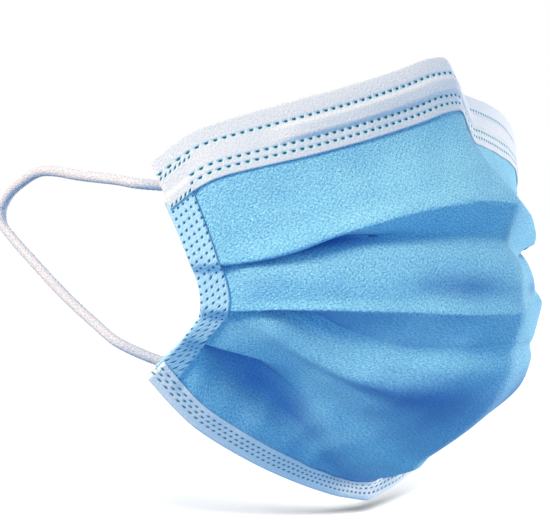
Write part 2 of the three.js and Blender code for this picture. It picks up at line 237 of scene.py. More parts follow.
# %% Ear loop routes
CORD_DIAMETER = 2.8 * MM
LOOP_ROUTES = {
    "right": [
        (-62.69, 32.32, -34.9), (-66.53, 36.95, -34.9), (-72.1, 43.56, -34.27), (-72.1, 51.48, -33.39),
        (-72.1, 68.9, -32.13), (-72.1, 80.32, -31), (-72.1, 87.32, -31.25), (-72.1, 95.5, -34.15),
        (-72.1, 101.97, -37.8), (-72.1, 105.47, -42.21), (-72.1, 105.07, -46.24), (-72.1, 100.19, -50.15),
        (-72.1, 89.1, -57.2), (-72.1, 76.1, -65.02), (-72.1, 62.17, -72.2), (-72.1, 51.48, -76.86),
        (-63.99, 40.33, -82.03), (-60.67, 37.79, -82.03),
    ],
    "left": [
        (63.21, 28.42, -34.9), (68.03, 32.34, -34.9), (72.1, 43.56, -34.27), (72.1, 51.48, -33.39),
        (72.1, 68.9, -32.13), (72.1, 80.32, -31), (72.1, 87.32, -31.25), (72.1, 95.5, -34.15),
        (72.1, 101.97, -37.8), (72.1, 105.47, -42.21), (72.1, 105.07, -46.24), (72.1, 100.19, -50.15),
        (72.1, 89.1, -57.2), (72.1, 76.1, -65.02), (72.1, 62.17, -72.2), (72.1, 51.48, -76.86),
        (63.99, 40.33, -82.03), (60.67, 37.79, -82.03),
    ],
}


def smooth_line(points, step):
    """Evenly spaced points on a centripetal Catmull-Rom curve through points."""
    p = np.array(points, float)
    p = np.vstack([2 * p[0] - p[1], p, 2 * p[-1] - p[-2]])
    line = []
    for a, b, c, d in zip(p, p[1:], p[2:], p[3:]):
        k = np.cumsum([0.0] + [math.sqrt(np.linalg.norm(v - u)) for u, v in ((a, b), (b, c), (c, d))])
        s = np.linspace(k[1], k[2], 40, endpoint=False)[:, None]
        ab = (k[1] - s) / (k[1] - k[0]) * a + (s - k[0]) / (k[1] - k[0]) * b
        bc = (k[2] - s) / (k[2] - k[1]) * b + (s - k[1]) / (k[2] - k[1]) * c
        cd = (k[3] - s) / (k[3] - k[2]) * c + (s - k[2]) / (k[3] - k[2]) * d
        abc = (k[2] - s) / (k[2] - k[0]) * ab + (s - k[0]) / (k[2] - k[0]) * bc
        bcd = (k[3] - s) / (k[3] - k[1]) * bc + (s - k[1]) / (k[3] - k[1]) * cd
        line.append((k[2] - s) / (k[2] - k[1]) * abc + (s - k[1]) / (k[2] - k[1]) * bcd)
    line = np.vstack(line + [p[-2:-1]])
    along = np.concatenate([[0], np.cumsum(np.linalg.norm(np.diff(line, axis=0), axis=1))])
    even = np.linspace(0, along[-1], int(round(along[-1] / step)) + 1)
    return np.stack([np.interp(even, along, line[:, i]) for i in range(3)], -1)


# %% Ear loop tubes
KNIT_PITCH = 1.5 * MM
KNIT_WALES = 5
KNIT_RELIEF = 0.11 * MM
TUBE_SIDES = 40
TUBE_STEP = 0.3 * MM


def knitted_tube(name, route):
    """A tube whose surface rises and falls in slanting stitches."""
    line = smooth_line(np.array(route) * MM, TUBE_STEP)
    along = np.arange(len(line)) * TUBE_STEP
    ahead = np.gradient(line, axis=0)
    ahead /= np.linalg.norm(ahead, axis=1)[:, None]
    side = np.cross(ahead, (0.0, 0.0, 1.0))
    side = np.where(np.linalg.norm(side, axis=1)[:, None] < 0.2, (1.0, 0.0, 0.0), side)
    outward = np.zeros_like(line)
    outward[0] = np.cross(ahead[0], (0.0, 0.0, 1.0))
    for i in range(len(line)):
        base = outward[i - 1] if i else outward[0]
        base = base - ahead[i] * (base @ ahead[i])
        outward[i] = base / np.linalg.norm(base)
    upward = np.cross(ahead, outward)
    turn = np.linspace(0, 2 * math.pi, TUBE_SIDES, endpoint=False)
    a, s = np.meshgrid(turn, along)
    stitch = 2 * math.pi * s / KNIT_PITCH
    wale = KNIT_WALES * a
    relief = np.abs(np.sin(stitch / 2 + wale)) + np.abs(np.sin(stitch / 2 - wale))
    relief = (relief - relief.mean()) * KNIT_RELIEF
    radius = CORD_DIAMETER / 2 + relief + 0.03 * MM * np.sin(s / (9 * MM) + 2 * a)
    ring = outward[:, None] * np.cos(turn)[:, None] + upward[:, None] * np.sin(turn)[:, None]
    grid = line[:, None] + ring * radius[..., None]
    uv = np.stack([s / MM, a / (2 * math.pi) * math.pi * CORD_DIAMETER / MM], -1)
    tube = grid_mesh(name, grid, uv, closed_round=True)
    caps = [range(TUBE_SIDES), range((len(line) - 1) * TUBE_SIDES, len(line) * TUBE_SIDES)]
    work = bmesh.new()
    work.from_mesh(tube.data)
    work.verts.ensure_lookup_table()
    for cap in caps:
        work.faces.new([work.verts[i] for i in cap])
    bmesh.ops.recalc_face_normals(work, faces=work.faces)
    work.to_mesh(tube.data)
    work.free()
    return tube, line


# a crimped polyester yarn over elastane: matt, soft white, mottled with grey-lilac in patches about a stitch in
# size
knitted_elastic, tree, shader = new_material("knitted_polyester_elastane", "#E6E6EE")
yarn_place = add(tree, "UVMap", {"uv_map": "cloth_mm"}).outputs["UV"]
yarn_cells = add(tree, "Mapping", Vector=yarn_place, Scale=(1 / 0.75, 1 / 0.45, 1), Rotation=(0, 0, 0.5))
yarn = add(tree, "TexNoise", Vector=yarn_cells.outputs[0], Scale=1.0, Detail=3.0, Roughness=0.6).outputs["Fac"]
yarn_tone = add(tree, "MapRange", Value=yarn, i1=0.35, i2=0.62).outputs[0]
yarn_colour = add(tree, "Mix", {"data_type": "RGBA"}, i0=yarn_tone, i6=linear("#B9B9C8"), i7=linear("#E4E3EA"))
tree.links.new(yarn_colour.outputs[2], shader.inputs["Base Color"])
yarn_bump = add(tree, "Bump", Height=yarn, Strength=1.0, Distance=0.0002)
tree.links.new(yarn_bump.outputs[0], shader.inputs["Normal"])
shader.inputs["Roughness"].default_value = 0.85
shader.inputs["Sheen Weight"].default_value = 0.2
shader.inputs["Specular IOR Level"].default_value = 0.25

ear_loops = {}
for side_name, route in LOOP_ROUTES.items():
    tube, line = knitted_tube(f"knitted_ear_loop_{side_name}", route)
    tube.data.materials.append(knitted_elastic)
    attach(tube, "root")
    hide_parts(f"ear_loop_{side_name}")
    ear_loops[side_name] = tube

# %% [markdown]
# ## The pleated cloth
#
# The body is one sheet, 175 mm wide, with three pleats. Cloth simulation could
# open pleats from the flat sheet, but the folds of a worn mask are known from
# looking, so it is bent by rule instead. Five rows run across it: the top
# edge, the lips of the three pleats and the chin edge. Each column runs down
# over the panels and round the folds as a belt runs round pulleys, one way at
# a lip and the other way at the pleat's root inside.

# %% Rows and pleats
HALF_WIDTH = 70 * MM
HEIGHT = 126 * MM
REACH = 66 * MM
FLAT_WIDTH = 175 * MM
CLOTH = 0.5 * MM
FOLD_RADIUS = 0.45 * MM
PLEAT_DEPTH = 10 * MM
FULLNESS = 5 * MM
STATIONS = [0, 0.1, 0.2, 0.4, 0.6, 0.8, 0.9, 1]
# width, y at the centre, y at the side edge, straightness in plan, and drops
ROWS = {
    "top_edge": (1.014, 0, 0.598, 0.35, [0.004, 0.014, 0.035, 0.073, 0.108, 0.146, 0.174, 0.23]),
    "lip_1": (0.956, -0.392, 0.424, 0.4, [0.314, 0.309, 0.31, 0.333, 0.37, 0.418, 0.432, 0.436]),
    "lip_2": (0.914, -0.421, 0.415, 0.4, [0.543, 0.542, 0.542, 0.534, 0.529, 0.527, 0.53, 0.529]),
    "lip_3": (0.928, 0.085, 0.488, 0.45, [0.903, 0.878, 0.845, 0.753, 0.669, 0.623, 0.607, 0.587]),
    "chin_edge": (1.0, 0.424, 0.641, 0.1, [0.993, 0.98, 0.965, 0.921, 0.865, 0.793, 0.74, 0.673]),
}
LEFT_ROWS = {
    "top_edge": (1.057, 0, 0.5, 0.45, [0.004, 0.073, 0.086, 0.099, 0.119, 0.151, 0.182, 0.234]),
    "lip_1": (0.915, -0.392, 0.44, 0.4, [0.314, 0.33, 0.352, 0.392, 0.414, 0.43, 0.434, 0.436]),
}
# how far each pleat's root lies inside its lip and above it
ROOTS = [
    ([0.215, 0.265, 0.315, 0.365, 0.315, 0.185, 0.085, 0], [-1, -0.95, -0.85, -0.55, -0.1, 0.4, 0.65, 0.8]),
    ([0.165, 0.185, 0.265, 0.515, 0.565, 0.285, 0.105, 0], [-0.76, -0.8, -0.85, -0.9, -0.5, 0.2, 0.55, 0.7]),
    ([-0.09, -0.08, -0.02, 0.2, 0.42, 0.34, 0.15, 0.02], [-0.5, -0.5, -0.5, -0.5, -0.4, 0, 0.35, 0.6]),
]
LEFT_OPEN = {1: [0.165, 0.085, 0.065, 0.105, 0.205, 0.185, 0.105, 0]}
# how far each panel swells, where, how sharply, and its number of pieces
PANELS = [
    ([-0.8, -0.8, -0.8, -0.68, -0.4, -0.08, 0, 0], 1, 2, 36),
    ([0.32, 0.32, 0.28, 0.2, 0.12, 0.04, 0, 0], 1, 2, 24),
    ([1.1, 1.1, 1.1, 0.92, 0.66, 0.36, 0.12, 0], 0.7, 1, 32),
    ([0.3, 0.3, 0.3, 0.3, 0.2, 0.1, 0, 0], 1, 2, 28),
]
UNDERSIDE_PIECES = 8
FOLD_PIECES = 6


def curve(stations, values, at):
    """A smooth curve through a table, at one place or many."""
    x, y, at = (np.asarray(v, float) for v in (stations, values, at))
    before = np.maximum(np.arange(len(x)) - 1, 0)
    after = np.minimum(np.arange(len(x)) + 1, len(x) - 1)
    slope = (y[after] - y[before]) / (x[after] - x[before])
    i = np.clip(np.searchsorted(x, at) - 1, 0, len(x) - 2)
    span = x[i + 1] - x[i]
    u = np.clip((at - x[i]) / span, 0, 1)
    v = 1 - u
    ends = y[i] * v * v * (1 + 2 * u) + y[i + 1] * u * u * (3 - 2 * u)
    return ends + span * (slope[i] * u * v * v - slope[i + 1] * u * u * v)


def row_point(name, t):
    """A row's point at t, from -1 at the wearer's right edge to 1 at the left."""
    width, centre, end, straight, drop = (LEFT_ROWS if t > 0 and name in LEFT_ROWS else ROWS)[name]
    side = abs(t)
    bow = straight * side + (1 - straight) * side * side
    return np.array([
        t * width * HALF_WIDTH,
        (centre + (end - centre) * bow) * REACH,
        -curve(STATIONS, drop, side) * HEIGHT,
    ])


def levels(t):
    """Level directions at t: along the cloth to the wearer's left, and outward."""
    along = row_point("lip_2", t + 0.06) - row_point("lip_2", t - 0.06)
    along[2] = 0
    along /= np.linalg.norm(along)
    return along, np.array([along[1], -along[0], 0])


def spots(t, out, z):
    """Points of the column at t that lie so far out at heights z."""
    along, outward = levels(t)
    rows = [row_point(name, t) for name in ROWS]
    slide = curve([-p[2] for p in rows], [p @ along for p in rows], -z)
    points = outward * out[:, None] + along * slide[:, None]
    points[:, 2] = z
    return points


def on_fold(stop, firm, angle):
    """The point of a fold's circle where cloth that heads at angle touches it."""
    radius = stop[2] * firm * FOLD_RADIUS
    return np.array([stop[0] + radius * math.sin(angle), stop[1] - radius * math.cos(angle)])


def headings(stops, firm):
    """The angle of the cloth from each stop to the next, as a belt's."""
    angles = []
    for a, b, fa, fb in zip(stops, stops[1:], firm, firm[1:]):
        reach = math.hypot(b[0] - a[0], b[1] - a[1])
        lean = math.asin(max(-1, min(1, FOLD_RADIUS * (b[2] * fb - a[2] * fa) / reach)))
        angles.append(math.atan2(b[1] - a[1], b[0] - a[0]) - lean)
    return angles


def sweeps(stops, angles):
    """How far the cloth turns round each stop, negative where it turns away."""
    turns = np.zeros(len(stops))
    for i in range(1, len(stops) - 1):
        turns[i] = ((angles[i] - angles[i - 1]) * stops[i][2]) % (2 * math.pi)
        if turns[i] > 1.5 * math.pi:
            turns[i] -= 2 * math.pi
    return turns


def column(t):
    """Points down the cloth at t, and which panel and share of it each is on."""
    _, outward = levels(t)
    side = abs(t)
    stops = []
    for k, name in enumerate(ROWS):
        p = row_point(name, t)
        if 0 < k < 4:
            openness, rise = ROOTS[k - 1]
            if t > 0 and k - 1 in LEFT_OPEN:
                openness = LEFT_OPEN[k - 1]
            lip = (p @ outward - FOLD_RADIUS, p[2], -1)
            deep = 2 * FOLD_RADIUS + curve(STATIONS, openness, side) * PLEAT_DEPTH
            stops += [lip, (lip[0] - deep, lip[1] + curve(STATIONS, rise, side) * PLEAT_DEPTH, 1)]
        else:
            stops.append((p @ outward, p[2], 0))
    # a pleat that has opened hardly turns, so its fold fades to a soft corner
    turning = sweeps(stops, headings(stops, np.ones(len(stops))))
    firm = np.clip(turning / math.radians(30), 0, 1)
    runs = headings(stops, firm)
    turning = np.maximum(0, sweeps(stops, runs))
    out, z, tag = [], [], []
    for i, angle in enumerate(runs):
        slack = [0.5 * MM * (1 - firm[k]) if 0 < k < len(runs) else 0 for k in (i, i + 1)]
        ahead = np.array([math.cos(angle), math.sin(angle)])
        a = on_fold(stops[i], firm[i], angle) + ahead * slack[0]
        b = on_fold(stops[i + 1], firm[i + 1], angle) - ahead * slack[1]
        if i % 2:
            pieces, swell, early, taper = UNDERSIDE_PIECES, 0, 1, 1
        else:
            table, early, taper, pieces = PANELS[i // 2]
            swell = curve(STATIONS, table, side) * FULLNESS
        u = np.arange(0 if i == 0 else 1, pieces + 1) / pieces
        bump = swell * np.maximum(0, np.sin(math.pi * u ** early)) ** taper * np.minimum(1, u / 0.12) ** 1.5
        out.append(a[0] + (b[0] - a[0]) * u - bump * math.sin(angle))
        z.append(a[1] + (b[1] - a[1]) * u + bump * math.cos(angle))
        tag.append(i + u)
        if i == len(runs) - 1:
            break
        onward = np.array([math.cos(runs[i + 1]), math.sin(runs[i + 1])])
        for k in range(1, FOLD_PIECES + 1):
            w = k / FOLD_PIECES
            p = on_fold(stops[i + 1], firm[i + 1], angle + stops[i + 1][2] * turning[i + 1] * w)
            p = p + (onward * w * w - ahead * (1 - w) ** 2) * slack[1]
            out.append([p[0]])
            z.append([p[1]])
            tag.append([i + 1.0])
    return spots(t, np.concatenate(out), np.concatenate(z)), np.concatenate(tag)


# %% [markdown]
# ## Bending the sheet
#
# The columns are closest near the centre line, where the cloth is creased over
# the nose and the mouth. Their lengths give the cloth's own millimetres, and
# these become the UV map, so that the fibre pattern follows every fold.

# %% The sheet of the body
COLUMNS = 221
share = np.linspace(-1, 1, COLUMNS)
stations_t = np.sign(share) * (0.75 * np.abs(share) + 0.25 * share * share)
body_columns = [column(t) for t in stations_t]
body_grid = np.array([points for points, _ in body_columns])
body_tags = body_columns[0][1]


def soft_step(value, low, high):
    """0 below low, 1 above high, smooth between them."""
    u = np.clip((value - low) / (high - low), 0, 1)
    return u * u * (3 - 2 * u)


def eased(line, wide, step=0.25 * MM):
    """A line of points with its corners rounded over about a width."""
    along = np.concatenate([[0], np.cumsum(np.linalg.norm(np.diff(line, axis=0), axis=1))])
    even = np.arange(-4 * wide, along[-1] + 4 * wide, step)
    fine = np.array([np.interp(even, along, line[:, k]) for k in range(3)])
    before, after = even < 0, even > along[-1]
    fine[:, before] = line[0][:, None] + (line[1] - line[0])[:, None] / max(along[1], 1e-9) * even[before]
    fine[:, after] = line[-1][:, None] + (line[-1] - line[-2])[:, None] / max(along[-1] - along[-2],
                                                                              1e-9) * (even[after] - along[-1])
    half = int(round(3 * wide / step))
    bell = np.exp(-0.5 * (np.arange(-half, half + 1) * step / wide) ** 2)
    fine = np.array([np.convolve(row, bell / bell.sum(), mode="same") for row in fine])
    return np.array([np.interp(along, even, row) for row in fine]).T


def shape_cloth(grid):
    """What the rule leaves too sharp: the open third pleat, the chin and the crease."""
    shaped = grid.copy()
    for i, t in enumerate(stations_t):
        # where a pleat has opened, its folds are only soft bends
        shaped[i] += (eased(grid[i], 0.5 * MM) - grid[i]) * (1 - soft_step(abs(t), 0.62, 0.75))
        # at the middle the third pleat has opened flat
        flat = (1 - soft_step(abs(t), 0.22, 0.42)) * soft_step(body_tags, 4.2,
                                                               4.9) * (1 - soft_step(body_tags, 6.4,
                                                                                     6.9))
        shaped[i] += (eased(shaped[i], 2.2 * MM) - shaped[i]) * flat[:, None]
        # and the cloth runs back under the chin from there
        tuck = np.interp(body_tags, [4.3, 5, 5.5, 6, 6.4, 7],
                         [0, 4.2, 6.2, 7.6, 6.5, 0]) * (1 - soft_step(abs(t), 0.02, 0.5))
        shaped[i, :, 1] += tuck * MM
        # under the chin the last few millimetres hang down
        line = shaped[i]
        from_edge = np.cumsum(np.r_[0, np.linalg.norm(np.diff(line[::-1], axis=0), axis=1)])[::-1]
        bend = soft_step(from_edge, 0, 6 * MM) * (1 - soft_step(from_edge, 7 * MM,
                                                                22 * MM)) * (1 - soft_step(abs(t),
                                                                                           0.05, 0.6))
        shaped[i] += bend[:, None] * np.array([0, 4.8, 2.8]) * MM
    # the crease over the nose is bent over a finger's width of a few millimetres
    crease = 1 - soft_step(np.abs(stations_t), 0.05, 0.12)
    for j in range(shaped.shape[1]):
        shaped[:, j] += (eased(shaped[:, j], 1.3 * MM) - shaped[:, j]) * crease[:, None]
    return shaped


body_grid = shape_cloth(body_grid)


# %% [markdown]
# ## Gathers
#
# Where the tapes hold the pleats shut, the cloth is gathered, and soft ridges
# and valleys fan out from there over the panels. They could be sculpted with a
# brush. A short table does it too: each row is a ridge from one place on the
# cloth to another, with a width and a height, and a valley has a negative one.

# %% Gathers
# share of the half width and place down the cloth, from and to; width; height in mm
GATHERS = [
    (0.95, 0.86, 0.1, 0.88, 0.07, -1.1),
    (0.95, 0.3, 0.45, 0.45, 0.18, 0.5),
    (0.9, 0.6, 0.55, 0.72, 0.1, -0.5),
    (0.97, 2.45, 0.62, 2.62, 0.14, 1.0),
    (0.97, 2.9, 0.3, 2.9, 0.06, -0.7),
    (0.62, 2.22, 0.15, 2.25, 0.14, 1.2),
    (0.5, 2.78, 0.12, 2.8, 0.12, -1.0),
    (0.78, 4.15, 0.42, 4.2, 0.1, -1.6),
    (0.97, 4.35, 0.64, 4.48, 0.14, 1.7),
    (0.7, 4.5, 0.28, 4.34, 0.1, 1.3),
    (0.52, 4.62, 0.3, 4.5, 0.08, -0.7),
    (0.95, 6.22, 0.45, 6.3, 0.15, -3.0),
    (0.6, 6.3, 0.34, 6.5, 0.16, -2.0),
    (0.97, 6.7, 0.7, 6.8, 0.12, 0.8),
    (0.42, 6.45, 0.2, 6.75, 0.14, 0.9),
]


def strokes(table, share, tags):
    """The sum of a table's soft strokes over the cloth."""
    side, place = np.meshgrid(np.abs(share), tags, indexing="ij")
    total = np.zeros_like(side)
    for t0, p0, t1, p1, width, height in table:
        # one share of the half width is about as long as three places down
        ax, ay, bx, by = t0 * 3, p0, t1 * 3, p1
        px, py = side * 3, place
        u = np.clip(((px - ax) * (bx - ax) + (py - ay) * (by - ay)) / ((bx - ax) ** 2 + (by - ay) ** 2), 0, 1)
        away = np.hypot((px - ax - u * (bx - ax)) / 2.2, py - ay - u * (by - ay))
        total += height * np.exp(-0.5 * (away / width) ** 2) * np.sin(math.pi * (0.08 + 0.84 * u)) ** 0.6
    return total


def gather_heights(share, tags):
    """The summed heights of all gathers over the cloth, in metres."""
    held = soft_step(tags, 0.08, 0.25) * (1 - soft_step(tags, 6.75, 6.95))
    panel = np.floor(tags)
    free = np.where(panel % 2 == 0, np.sin(math.pi * np.clip(tags - panel, 0, 1)) ** 0.35, 0)
    ends = 1 - soft_step(np.abs(share), 0.87, 0.93)
    return strokes(GATHERS, share, tags) * MM * held * free * ends[:, None]


def soft_waves(grid):
    """Slow unevenness of cloth that was never pressed, from a few sine waves."""
    x, y, z = (grid[..., k] / MM for k in range(3))
    wave = np.sin(0.31 * x + 0.17 * z) + np.sin(0.23 * z - 0.11 * x + 1.3) + 0.7 * np.sin(0.45 * x - 0.33 * z + 0.6)
    return wave * 0.09 * MM


held_still = (1 - soft_step(body_tags, 6.8, 7.0)) * soft_step(body_tags, 0.0, 0.4)


def cloth_lengths(grid, axis):
    """Lengths along a grid in metres, from its first line."""
    steps = np.linalg.norm(np.diff(grid, axis=axis), axis=2)
    zero = np.zeros_like(np.take(steps, [0], axis=axis))
    return np.cumsum(np.concatenate([zero, steps], axis=axis), axis=axis)


def outwards(grid):
    """Outward directions of a grid whose columns run down and rows run left."""
    def heading(axis):
        step = np.diff(grid, axis=axis)
        step = step / np.maximum(np.linalg.norm(step, axis=2, keepdims=True), 1e-12)
        ends = [np.take(step, [0], axis=axis), np.take(step, [-1], axis=axis)]
        total = np.concatenate([ends[0], step], axis=axis) + np.concatenate([step, ends[1]], axis=axis)
        return total / np.maximum(np.linalg.norm(total, axis=2, keepdims=True), 1e-12)
    face = np.cross(heading(1), heading(0))
    return face / np.linalg.norm(face, axis=2, keepdims=True)


away_from_tape = 1 - soft_step(np.abs(stations_t), 0.88, 0.93)
lift = gather_heights(stations_t, body_tags) + soft_waves(body_grid) * held_still * away_from_tape[:, None]
body_grid = body_grid + outwards(body_grid) * lift[..., None]
body_down = cloth_lengths(body_grid, 1)
flat_across = np.broadcast_to((stations_t * FLAT_WIDTH / 2)[:, None], body_down.shape)
body_uv = np.stack([flat_across, body_down], -1) / MM
pleated_cloth = grid_mesh("pleated_cloth", body_grid, body_uv)


def openness(mesh, points, normals, rays=40, reach=22 * MM):
    """How much of the view outward is free at points, from 0 in a fold to 1."""
    tree = BVHTree.FromPolygons([v.co for v in mesh.vertices], [list(f.vertices) for f in mesh.polygons])
    k = np.arange(rays) + 0.5
    turn, lift = k * math.pi * (3 - math.sqrt(5)), np.sqrt(1 - k / rays)
    disc = np.sqrt(k / rays)
    local = np.stack([disc * np.cos(turn), disc * np.sin(turn), lift], -1)
    first = np.cross(normals, (0.31, 0.17, 0.93))
    first /= np.linalg.norm(first, axis=-1, keepdims=True)
    second = np.cross(normals, first)
    free = np.zeros(len(points))
    for i, (place, out, a, b) in enumerate(zip(points, normals, first, second)):
        start = Vector(place + out * 0.35 * MM)
        for x, y, z in local:
            ray = a * x + b * y + out * z
            hit = tree.ray_cast(start, Vector(ray), reach)[3]
            # views upward count more than views downward, so faces turned down come out less open, as under a light
            # from above; the value becomes painted shade in the cloth's colour
            free[i] += (1 if hit is None else (hit / reach) ** 0.5) * max(0.0, 1 + 0.6 * ray[2])
    return free / rays


def spread_openness(grid, mesh):
    """The openness worked out at every third point and spread smoothly between."""
    normals = outwards(grid)
    i = np.unique(np.r_[0:grid.shape[0]:3, grid.shape[0] - 1])
    j = np.unique(np.r_[0:grid.shape[1]:3, grid.shape[1] - 1])
    coarse = openness(mesh, grid[np.ix_(i, j)].reshape(-1, 3),
                      normals[np.ix_(i, j)].reshape(-1, 3)).reshape(len(i), len(j))
    wide = np.array([np.interp(np.arange(grid.shape[1]), j, line) for line in coarse])
    return np.array([np.interp(np.arange(grid.shape[0]), i, line) for line in wide.T]).T


# keeps the cloth's painted light and shade as its openness attribute, which the material reads
def keep_painted_light_and_shade(thing, values):
    layer = thing.data.attributes.new("openness", "FLOAT", "POINT")
    layer.data.foreach_set("value", values.astype(np.float32).ravel())


# painted light and shade: soft strokes, placed after the photo, which lighten or darken the cloth's
# painted fold shade as painted highlights and painted shadows; they aren't worked out.
# share of the half width and place down the cloth, from and to; width; change
PAINTED_LIGHT_AND_SHADE = [
    (0.42, 1.6, 0.0, 1.6, 0.5, 0.6),
    (0.78, 2.1, 0.45, 2.08, 0.12, -0.34),
    (0.45, 2.6, 0.05, 2.6, 0.28, -0.45),
    (0.96, 4.6, 0.82, 4.7, 0.25, 0.7),
    (0.85, 4.35, 0.6, 4.5, 0.15, 0.25),
    (0.45, 4.3, 0.05, 4.4, 0.25, -0.3),
    (0.2, 4.8, 0.25, 6.3, 0.6, 0.25),
    (0.88, 6.28, 0.36, 6.34, 0.34, -0.34),
]

# the openness with the strokes added: painted light and shade for the cloth's colour
painted_light_and_shade = spread_openness(body_grid, pleated_cloth.data) + strokes(PAINTED_LIGHT_AND_SHADE, stations_t, body_tags)
keep_painted_light_and_shade(pleated_cloth, painted_light_and_shade)
print("openness:", [round(float(v), 2) for v in (painted_light_and_shade.min(), painted_light_and_shade.mean(), painted_light_and_shade.max())])
print("cloth:", body_grid.shape, "flat height", round(float(body_down[:, -1].mean()) / MM, 1), "mm")

# %% Thickness
def give_wall(thing, thickness, outer, inner):
    """A wall on both sides of the sheet, with a material on each side."""
    thing.data.materials.append(outer)
    thing.data.materials.append(inner)
    wall = thing.modifiers.new("thickness", "SOLIDIFY")
    wall.thickness = thickness
    wall.offset = 0
    wall.material_offset = 1
    apply_modifiers(thing)
    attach(thing, "root")


give_wall(pleated_cloth, CLOTH, blue_cloth, white_lining)
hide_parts("pleated_body")

# %% [markdown]
# ## Welded marks
#
# The layers of a mask are joined by ultrasound: a wheel with small teeth melts
# the cloth in spots, which turn dark and glassy with a pale ring round each.
# They could be modelled one by one, but there are over a thousand and each is
# only 0.1 mm deep. They are drawn by the material, in the cloth's millimetres.

# %% Weld marks
def weld_row(tree, place, across, down, pitch, size, up_to=None, beyond=None, phase=0.0, lean=0.0,
             cup=0.0, repeat=None):
    """Masks of one row of marks, or of rows that repeat down the cloth."""
    split = add(tree, "SeparateXYZ", Vector=place)
    u, v = split.outputs[across], split.outputs[1 - across]
    lower = add(tree, "Math", {"operation": "SUBTRACT"}, i0=v, i1=down).outputs[0]
    if repeat:
        shifted = add(tree, "Math", {"operation": "ADD"}, i0=lower, i1=repeat / 2).outputs[0]
        wrapped = add(tree, "Math", {"operation": "FLOORED_MODULO"}, i0=shifted, i1=repeat).outputs[0]
        lower_cell = add(tree, "Math", {"operation": "SUBTRACT"}, i0=wrapped, i1=repeat / 2).outputs[0]
    else:
        lower_cell = lower
    leaning = add(tree, "Math", {"operation": "MULTIPLY_ADD"}, i0=lower_cell, i1=lean, i2=u).outputs[0]
    moved = add(tree, "Math", {"operation": "ADD"}, i0=leaning, i1=phase * pitch).outputs[0]
    cell = add(tree, "Math", {"operation": "FLOORED_MODULO"}, i0=moved, i1=pitch).outputs[0]
    middle = add(tree, "Math", {"operation": "SUBTRACT"}, i0=cell, i1=pitch / 2).outputs[0]
    long_way = add(tree, "Math", {"operation": "DIVIDE"}, i0=middle, i1=size[0] / 2).outputs[0]
    bowed = add(tree, "Math", {"operation": "MULTIPLY"}, i0=long_way, i1=long_way).outputs[0]
    cupped = add(tree, "Math", {"operation": "MULTIPLY_ADD"}, i0=bowed, i1=cup, i2=lower_cell).outputs[0]
    short_way = add(tree, "Math", {"operation": "DIVIDE"}, i0=cupped, i1=size[1] / 2).outputs[0]
    away = add(tree, "CombineXYZ", X=long_way, Y=short_way)
    far = add(tree, "VectorMath", {"operation": "LENGTH"}, i0=away.outputs[0]).outputs["Value"]
    weld = add(tree, "MapRange", {"interpolation_type": "SMOOTHSTEP"}, Value=far, i1=0.8, i2=1.15,
               i3=1.0, i4=0.0).outputs[0]
    halo = add(tree, "MapRange", {"interpolation_type": "SMOOTHSTEP"}, Value=far, i1=1.0, i2=2.3,
               i3=1.0, i4=0.0).outputs[0]
    side = add(tree, "Math", {"operation": "ABSOLUTE"}, i0=u).outputs[0]
    for limit, first, last in ((up_to, 1.0, 0.0), (beyond, 0.0, 1.0)):
        if limit:
            kept = add(tree, "MapRange", Value=side, i1=limit - 0.2, i2=limit + 0.2, i3=first,
                       i4=last).outputs[0]
            weld = add(tree, "Math", {"operation": "MULTIPLY"}, i0=weld, i1=kept).outputs[0]
            halo = add(tree, "Math", {"operation": "MULTIPLY"}, i0=halo, i1=kept).outputs[0]
    return weld, halo


def together(tree, rows):
    """The strongest of several masks."""
    weld, halo = rows[0]
    for other, other_halo in rows[1:]:
        weld = add(tree, "Math", {"operation": "MAXIMUM"}, i0=weld, i1=other).outputs[0]
        halo = add(tree, "Math", {"operation": "MAXIMUM"}, i0=halo, i1=other_halo).outputs[0]
    return weld, halo


def nose_band_welds(tree, place):
    rows = [
        weld_row(tree, place, 0, 4.6, 2.25, (1.0, 0.68), cup=0.12),
        weld_row(tree, place, 0, 6.0, 1.15, (0.4, 0.75), lean=0.5, beyond=79.5),
        weld_row(tree, place, 0, 10.9, 2.25, (1.0, 0.68), cup=0.12, up_to=81.5, phase=0.3),
        weld_row(tree, place, 0, 13.1, 2.25, (1.0, 0.68), cup=0.12, up_to=81.5, phase=0.7),
        weld_row(tree, place, 0, 14.7, 1.15, (0.45, 0.8), lean=0.5, beyond=81.5),
    ]
    return together(tree, rows)


def chin_band_welds(tree, place):
    rows = [weld_row(tree, place, 0, down, 2.05, (0.85, 0.42), lean=-0.8, phase=0.33 * k) for k,
            down in enumerate((1.7, 3.05, 4.4))]
    return together(tree, rows)


def tape_welds(tree, place):
    return weld_row(tree, place, 0, 1.0, 1.6, (0.55, 0.55), phase=0.5, repeat=2.1)


# white spunbond of the nose band: bright, with no sheen, and flat where the welds press it
# its white is painted a little darker than the hem's, as painted shade where the light falls strongest
white_band = nonwoven("white_spunbond_binding", "#E4E6EC", "#EBECF1", "#D6D9E2",
                      marks=nose_band_welds, lattice=0.1, grain=0.16)
# the same white cloth round the chin, painted a little lighter than the nose band's: painted light where the chin
# lies in shade
white_hem = nonwoven("white_spunbond_hem", "#E4E6EC", "#FAFAFC", "#ECEEF3", marks=chin_band_welds,
                     lattice=0.1, grain=0.16, mark_colours=("#3F7F97", "#C3DFEA"))
# thin light blue tape: paler than the body, and its welds show as rows of dark points
tape_cloth = nonwoven("light_blue_spunbond_tape", "#A6D3F0", "#C2E6F8", "#A2D4F0", marks=tape_welds,
                      lattice=0.1, grain=0.2, mark_colours=("#2C5F86", "#8FC6EA"))

# %% [markdown]
# ## The binding strips
#
# A strip of white nonwoven is folded over the top edge and another over the
# chin edge, and each is welded through. Such a strip could be cut from a copy
# of the cloth and thickened, but it has to turn round an edge. So it is built
# across instead: from inside the cloth, round its edge and down the outside,
# always at the same small distance from the cloth's middle surface.

